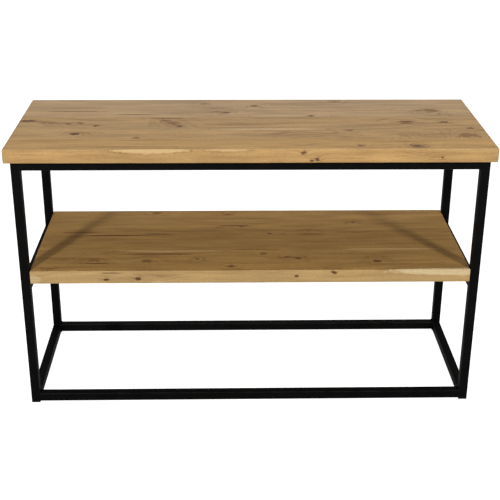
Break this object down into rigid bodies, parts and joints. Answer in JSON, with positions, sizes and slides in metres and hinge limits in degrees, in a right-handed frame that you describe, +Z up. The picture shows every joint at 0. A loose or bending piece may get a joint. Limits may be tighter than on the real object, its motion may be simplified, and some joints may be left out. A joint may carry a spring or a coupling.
{
  "type": "console table",
  "caption": "Console table with a solid wood top and a fixed wood shelf on an open black frame of welded square steel tube with plastic feet.",
  "frame": {"origin": "on the floor, under the middle of the tabletop", "axes": "+X along the length of the table, +Y from front to rear, +Z up"},
  "size_m": [1.3, 0.48, 0.775],
  "materials": {
    "wood_top": "matt oiled acacia, greyish tan on the upper face and warmer on the edges",
    "wood_shelf": "matt oiled acacia, a little browner, with pale sapwood along the front edge",
    "frame_steel": "black powder coat, fine texture, half matt",
    "foot_plastic": "black moulded polyethylene",
    "fixing_steel": "bright zinc plate"
  },
  "bodies": {
    "root": {"top_board_1": "wood_top", "top_board_2": "wood_top", "top_board_3": "wood_top", "top_board_4": "wood_top", "top_board_5": "wood_top", "shelf_board_1": "wood_shelf", "shelf_board_2": "wood_shelf", "shelf_board_3": "wood_shelf", "shelf_board_4": "wood_shelf", "shelf_board_5": "wood_shelf", "leg_front_left": "frame_steel", "leg_front_right": "frame_steel", "leg_rear_left": "frame_steel", "leg_rear_right": "frame_steel", "foot_front_left": "foot_plastic", "foot_front_right": "foot_plastic", "foot_rear_left": "foot_plastic", "foot_rear_right": "foot_plastic", "corner_plate_front_left": "frame_steel", "corner_plate_front_right": "frame_steel", "corner_plate_rear_left": "frame_steel", "corner_plate_rear_right": "frame_steel", "shelf_tab_front_left": "frame_steel", "shelf_tab_front_right": "frame_steel", "shelf_tab_rear_left": "frame_steel", "shelf_tab_rear_right": "frame_steel", "top_rail_front": "frame_steel", "top_rail_rear": "frame_steel", "top_rail_left": "frame_steel", "top_rail_right": "frame_steel", "shelf_rail_left": "frame_steel", "shelf_rail_right": "frame_steel", "base_rail_front": "frame_steel", "base_rail_rear": "frame_steel", "base_rail_left": "frame_steel", "base_rail_right": "frame_steel", "top_tab_front": "frame_steel", "top_tab_rear": "frame_steel", "top_screws": "fixing_steel", "top_washers": "fixing_steel", "shelf_screws": "fixing_steel", "shelf_washers": "fixing_steel", "welds_top": "frame_steel", "welds_shelf": "frame_steel", "welds_base": "frame_steel"}
  },
  "joints": []
}
